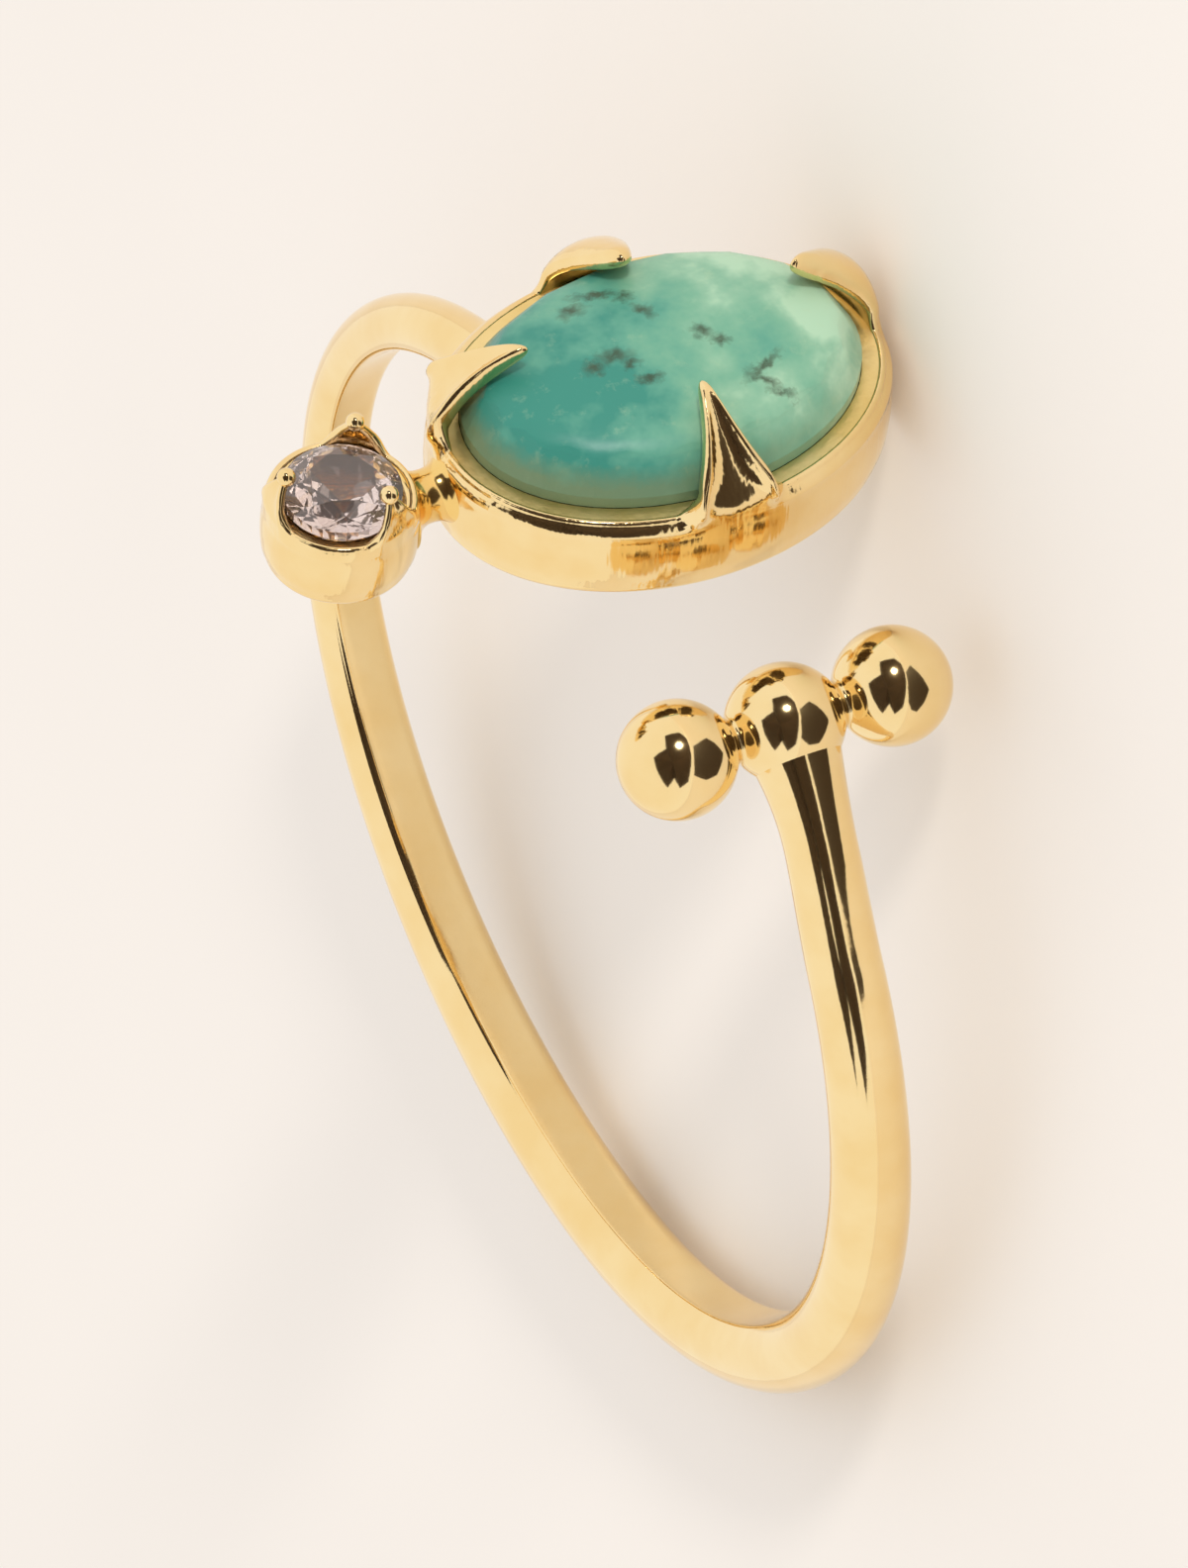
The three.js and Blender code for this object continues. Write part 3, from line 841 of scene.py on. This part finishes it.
def claw_bead(index, angle):
    """The small ball at the end of a claw of the round cup."""
    outside = ROUND_CUP["wall"] / 2 - ROUND_CUP["claw_reach"]
    centre = outline_point(ROUND_CUP, angle, outside, ROUND_CUP["claw_height"])
    rows = []
    for step in range(1, BEAD_ROWS):
        polar = math.pi * step / BEAD_ROWS
        rings = [math.sin(polar) * (cos * FINGER + sin * TO_BAR) for cos, sin in circle(BEAD_SIDES)]
        rows.append([centre + MM * CLAW_BEAD * (math.cos(polar) * OUT + ring) for ring in rings])
    return skinned(f"claw_bead_{index}", rows, GOLD, capped=True)


def bridge():
    """Solder between the two cups, waisted in the middle and spread at both ends."""
    right = BRIDGE_SINK - cup_reach(OVAL_CUP)
    left = -BRIDGE_SINK - cup_reach(OVAL_CUP) - CUP_GAP
    rows = []
    for step in range(BRIDGE_ROWS + 1):
        share = step / BRIDGE_ROWS
        along = lerp(left, right, share)
        near_end = abs(2 * share - 1) ** BRIDGE_SPREAD
        wide = lerp(*BRIDGE_WIDTHS, near_end)
        high = lerp(*BRIDGE_HEIGHTS, near_end)
        section = [(wide * cos, high * sin - BRIDGE_DEPTH) for cos, sin in circle(BRIDGE_SIDES)]
        rows.append([head_point(along, across, up) for across, up in section])
    return skinned("solder_bridge", rows, SOLDER, capped=True)


# Stones


def cut_stone(name, cup, corner_rows, material, smooth_over):
    """A stone as the hull of its corners, smooth where it looks up by more than the cosine given."""
    shape = bmesh.new()
    for sides, start, inset, up in corner_rows:
        for point in outline_ring(cup, sides, -inset, up, start):
            shape.verts.new(tuple(point))
    bmesh.ops.convex_hull(shape, input=shape.verts)
    loose = [vertex for vertex in shape.verts if not vertex.link_faces]
    bmesh.ops.delete(shape, geom=loose, context="VERTS")
    merge_angle = math.radians(FACET_MERGE_ANGLE)
    bmesh.ops.dissolve_limit(shape, angle_limit=merge_angle, verts=shape.verts, edges=shape.edges)
    bmesh.ops.recalc_face_normals(shape, faces=shape.faces)
    for face in shape.faces:
        face.smooth = face.normal.dot(OUT) > smooth_over
    mesh = bpy.data.meshes.new(name)
    shape.to_mesh(mesh)
    shape.free()
    return add_piece(name, mesh, material)


# Pieces


def dress():
    metal = [
        band(),
        ball_bar(),
        cup_wall("oval_cup", OVAL_CUP, OVAL_COLUMNS),
        bearing("oval_bearing", OVAL_CUP),
        cup_floor("oval_cup_floor", OVAL_CUP),
        cup_wall("round_cup", ROUND_CUP, ROUND_COLUMNS),
        cup_floor("round_cup_floor", ROUND_CUP),
        bridge(),
    ]
    metal += [claw_bead(index, claw[0]) for index, claw in enumerate(ROUND_CUP["claws"])]
    for piece in metal:
        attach(piece, "root")
        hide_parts("ring_metal")
    stone = cut_stone("turquoise_stone", OVAL_CUP, TURQUOISE_ROWS, TURQUOISE, SMOOTH_DOME)
    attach(stone, "root")
    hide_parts("oval_stone")
    small = cut_stone("clear_round_stone", ROUND_CUP, CLEAR_ROWS, CLEAR, NOWHERE_SMOOTH)
    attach(small, "root")
    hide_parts("round_stone")


dress()

# Camera: the photograph's direction to the ring. The picture's right and the way back to the camera
# are each given along the finger, towards the hoop's angle 0 and towards its angle 90. Lengths from
# here on are in metres, but the sensor's height is in millimetres.
CAMERA_RIGHT = (0.8881, -0.2406, 0.3917)
CAMERA_BACK = (-0.3425, 0.2222, 0.9129)
CAMERA_DISTANCE = 0.42
CAMERA_CLIP = 0.01
SENSOR_HEIGHT = 24.0
FRAME_HEIGHT = 0.0262
CENTRE_SHIFT = (-0.0002, 0.0006)


def ring_direction(along, to_start, to_quarter):
    return (along * FINGER + to_start * hoop_direction(0) + to_quarter * hoop_direction(90)).normalized()


RIGHT = ring_direction(*CAMERA_RIGHT)
BACK = ring_direction(*CAMERA_BACK)
UP = BACK.cross(RIGHT).normalized()


def picture_middle():
    """The middle of the ring as the camera sees it."""
    points = np.concatenate([node_points(name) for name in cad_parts])
    middle = Vector()
    for axis in (RIGHT, UP, BACK):
        along = points @ np.array(axis)
        middle += float(along.min() + along.max()) / 2 * axis
    return middle


def add_camera():
    lens = bpy.data.cameras.new("camera")
    lens.sensor_fit = "VERTICAL"
    lens.sensor_height = SENSOR_HEIGHT
    lens.lens = SENSOR_HEIGHT * CAMERA_DISTANCE / FRAME_HEIGHT
    lens.clip_start = CAMERA_CLIP
    camera = bpy.data.objects.new("camera", lens)
    target = picture_middle() + CENTRE_SHIFT[0] * RIGHT + CENTRE_SHIFT[1] * UP
    place = Matrix((RIGHT, UP, BACK)).transposed().to_4x4()
    place.translation = target + CAMERA_DISTANCE * BACK
    camera.matrix_world = place
    bpy.context.scene.collection.objects.link(camera)
    bpy.context.scene.camera = camera


add_camera()


# Studio: a pale floor, an even warm white room, a small lamp, and two dark cards that only polish
# mirrors. Directions are in degrees to the right of the camera and above it in the picture.
FLOOR_TONE = (0.86, 0.815, 0.775)
FLOOR_SHADE = 0.98
FLOOR_GRAIN_SCALE = 60.0
FLOOR_HALF = 2.0
WORLD_TONE = (1.0, 0.98, 0.955, 1)
WORLD_STRENGTH = 1.0
CARD_TONE = (0.028, 0.016, 0.009)
CARD_MOTTLE = 1.5
CARD_MOTTLE_SCALE = 8.0
CARD_DISTANCE = 0.62
CARD_OUTLINE = (
    (-26, -52),
    (-6, -34),
    (8, -54),
    (25, -40),
    (26, 10),
    (24, 36),
    (6, 52),
    (-30, 44),
    (-22, 20),
    (-44, 4),
    (-38, -22),
)
FLOOR_CARD_HEIGHT = 0.0002
FLOOR_CARD_OUTLINE = ((34, -28), (30.5, -5), (29, 24), (52, 35), (70, 18), (81, 4), (72, -30), (54, -37))
LAMP_DIRECTION = (4, 27)
LAMP_DISTANCE = 0.55
LAMP_SIZE = 0.08
LAMP_POWER = 1.2
LAMP_TONE = (1.0, 0.97, 0.92)


def picture_direction(right, up):
    turn, lift = math.radians(right), math.radians(up)
    level = math.cos(lift)
    return level * math.cos(turn) * BACK + level * math.sin(turn) * RIGHT + math.sin(lift) * UP


def add_floor():
    material, tree, shader = new_material("pale_paper")
    shaded = tuple(FLOOR_SHADE * tone for tone in FLOOR_TONE)
    grain = noise(tree, FLOOR_GRAIN_SCALE, detail=3.0)
    tree.links.new(ramp(tree, grain, [(0.3, FLOOR_TONE), (0.7, shaded)]), shader.inputs["Base Color"])
    shader.inputs["Roughness"].default_value = 0.9
    shader.inputs["Specular IOR Level"].default_value = 0.0
    half = FLOOR_HALF
    corners = [(-half, -half, 0), (half, -half, 0), (half, half, 0), (-half, half, 0)]
    floor = add_mesh("floor", corners, [(0, 1, 2, 3)], material, flat=True)


def add_lamp():
    data = bpy.data.lights.new("key", "AREA")
    data.shape = "DISK"
    data.size = LAMP_SIZE
    data.energy = LAMP_POWER
    data.color = LAMP_TONE
    lamp = bpy.data.objects.new("key", data)
    direction = picture_direction(*LAMP_DIRECTION)
    turn = direction.to_track_quat("Z", "Y").to_matrix().to_4x4()
    lamp.matrix_world = Matrix.Translation(picture_middle() + LAMP_DISTANCE * direction) @ turn
    bpy.context.scene.collection.objects.link(lamp)


def before_camera(right, up):
    """A card's corner in a direction as seen from the ring, at the card's distance."""
    return picture_middle() + CARD_DISTANCE * picture_direction(right, up)


def on_floor(right, up):
    """A card's corner just over the floor, in a direction as seen from the bar of balls."""
    start = bar_centre()
    way = picture_direction(right, up)
    return start + (FLOOR_CARD_HEIGHT - start.z) / way.z * way


def add_card(name, corners):
    """A dark card that only polish mirrors."""
    material, tree, shader = new_material(name)
    mottled = tuple(CARD_MOTTLE * part for part in CARD_TONE)
    mottle = noise(tree, CARD_MOTTLE_SCALE, detail=2.0)
    tree.links.new(ramp(tree, mottle, [(0.3, CARD_TONE), (0.7, mottled)]), shader.inputs["Base Color"])
    shader.inputs["Roughness"].default_value = 0.8
    count = len(corners)
    middle = sum(corners, Vector()) / count
    faces = [(index, (index + 1) % count, count) for index in range(count)]
    card = add_mesh(name, [*corners, middle], faces, material, flat=True)
    card.visible_camera = False
    card.visible_diffuse = False
    card.visible_shadow = False


def add_world():
    world = bpy.data.worlds.new("studio")
    world.use_nodes = True
    background = world.node_tree.nodes["Background"]
    background.inputs["Color"].default_value = WORLD_TONE
    background.inputs["Strength"].default_value = WORLD_STRENGTH
    bpy.context.scene.world = world


bpy.context.scene.view_settings.view_transform = "Standard"
add_floor()
add_card("dark_card", [before_camera(*corner) for corner in CARD_OUTLINE])
add_card("floor_card", [on_floor(*corner) for corner in FLOOR_CARD_OUTLINE])
add_world()
add_lamp()
